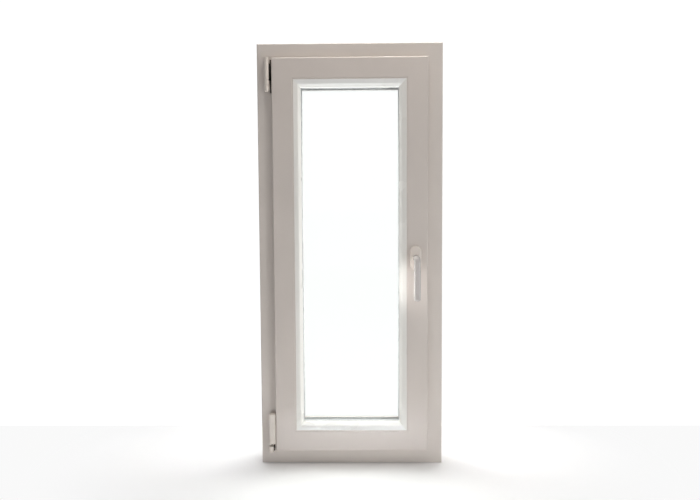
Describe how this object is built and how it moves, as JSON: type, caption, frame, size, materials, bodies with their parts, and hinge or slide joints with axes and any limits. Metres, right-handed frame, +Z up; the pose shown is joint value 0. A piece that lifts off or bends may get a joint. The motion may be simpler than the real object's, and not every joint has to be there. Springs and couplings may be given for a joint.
{
  "type": "casement window",
  "caption": "Single-sash tilt-and-turn casement window: hollow plastic frame, double-glazed inward-opening sash, side lever handle with locking rods.",
  "frame": {"origin": "centre of the outer frame's flat bottom face", "axes": "+Z up, +Y from the room towards outdoors, +X to the right as seen from the room"},
  "size_m": [0.5, 0.145, 1.15],
  "materials": {
    "frame_plastic": "satin white rigid plastic",
    "sash_plastic": "satin white rigid plastic",
    "bead_plastic": "satin white rigid plastic",
    "gasket": "grey extruded rubber",
    "sealant": "black sealant",
    "glass": "clear float glass",
    "spacer_aluminium": "mill aluminium",
    "zinc_steel": "zinc-plated steel",
    "screw_steel": "zinc-plated steel",
    "cam_steel": "hardened steel",
    "gearbox_zinc": "die-cast housing",
    "hinge_paint": "white paint on steel",
    "cover_plastic": "white moulded plastic",
    "block_plastic": "moulded plastic",
    "handle_paint": "white powder-coated metal"
  },
  "bodies": {
    "frame": {"frame_sill": "frame_plastic", "frame_head": "frame_plastic", "frame_jamb_hinge_side": "frame_plastic", "frame_jamb_lock_side": "frame_plastic", "frame_reinforcements": "zinc_steel", "frame_gasket": "gasket", "drain_caps": "cover_plastic", "locking_strikers": "zinc_steel", "tilt_striker_bottom": "zinc_steel", "striker_screws": "screw_steel", "stay_bearing": "hinge_paint", "hinge_bearing_screws": "screw_steel", "top_hinge_pin": "zinc_steel", "top_hinge_pin_cap": "cover_plastic", "corner_bearing": "hinge_paint"},
    "pivot": {"corner_pivot": "zinc_steel", "corner_pivot_cap": "cover_plastic"},
    "stay": {"stay_arm": "zinc_steel", "stay_arm_cover": "cover_plastic", "stay_arm_rivet": "zinc_steel"},
    "sash": {"sash_bottom_rail": "sash_plastic", "sash_top_rail": "sash_plastic", "sash_stile_hinge_side": "sash_plastic", "sash_stile_lock_side": "sash_plastic", "sash_reinforcements": "zinc_steel", "sash_gasket": "gasket", "glazing_bead_bottom": "bead_plastic", "glazing_bead_top": "bead_plastic", "glazing_bead_hinge_side": "bead_plastic", "glazing_bead_lock_side": "bead_plastic", "glass_pane_inner": "glass", "glass_pane_outer": "glass", "glass_spacer_bars": "spacer_aluminium", "glass_edge_sealant": "sealant", "glazing_gasket_room": "gasket", "glazing_gasket_outdoor": "gasket", "setting_blocks": "block_plastic", "corner_strap": "zinc_steel", "corner_strap_cover": "cover_plastic", "stay_guide": "zinc_steel", "faceplate_side": "zinc_steel", "faceplate_top": "zinc_steel", "faceplate_bottom": "zinc_steel", "sash_hardware_screws": "screw_steel", "corner_drive_top": "zinc_steel", "corner_drive_bottom": "zinc_steel", "corner_drive_bands": "cam_steel", "gearbox_case": "gearbox_zinc", "handle_base": "block_plastic", "handle_rosette": "cover_plastic", "handle_screws": "screw_steel"},
    "handle": {"handle_lever": "handle_paint", "handle_spindle": "cam_steel", "gearbox_pinion": "cam_steel"},
    "side_rod": {"drive_rod_side": "zinc_steel", "locking_cams_side": "cam_steel"},
    "top_rod": {"drive_rod_top": "zinc_steel", "locking_cam_top": "cam_steel"},
    "bottom_rod": {"drive_rod_bottom": "zinc_steel", "tilt_cam_bottom": "cam_steel"}
  },
  "joints": [
    {"name": "sash_turn", "type": "hinge", "parent": "frame", "child": "pivot", "pos_m": [-0.2215, -0.053, 0.046], "axis": [0, 0, -1], "range_deg": [0, 90]},
    {"name": "sash_tilt", "type": "hinge", "parent": "pivot", "child": "sash", "pos_m": [-0.2215, -0.053, 0.046], "axis": [1, 0, 0], "range_deg": [0, 7]},
    {"name": "stay_swing", "type": "hinge", "parent": "pivot", "child": "stay", "pos_m": [-0.2215, -0.053, 1.07], "axis": [0, 0, -1], "range_deg": [0, 27.4]},
    {"name": "handle_turn", "type": "hinge", "parent": "sash", "child": "handle", "pos_m": [0.17565, -0.055, 0.573], "axis": [0, 1, 0], "range_deg": [0, 180]},
    {"name": "side_rod_slide", "type": "slide", "parent": "sash", "child": "side_rod", "axis": [0, 0, -1], "range_m": [0, 0.0252]},
    {"name": "top_rod_slide", "type": "slide", "parent": "sash", "child": "top_rod", "axis": [1, 0, 0], "range_m": [0, 0.0252]},
    {"name": "bottom_rod_slide", "type": "slide", "parent": "sash", "child": "bottom_rod", "axis": [-1, 0, 0], "range_m": [0, 0.0252]}
  ],
  "couplings": [
    {"joint": "stay_swing", "follows": "sash_tilt", "ratio": 3.9},
    {"joint": "side_rod_slide", "follows": "handle_turn", "m_per_rad": 0.008},
    {"joint": "top_rod_slide", "follows": "handle_turn", "m_per_rad": 0.008},
    {"joint": "bottom_rod_slide", "follows": "handle_turn", "m_per_rad": 0.008}
  ]
}
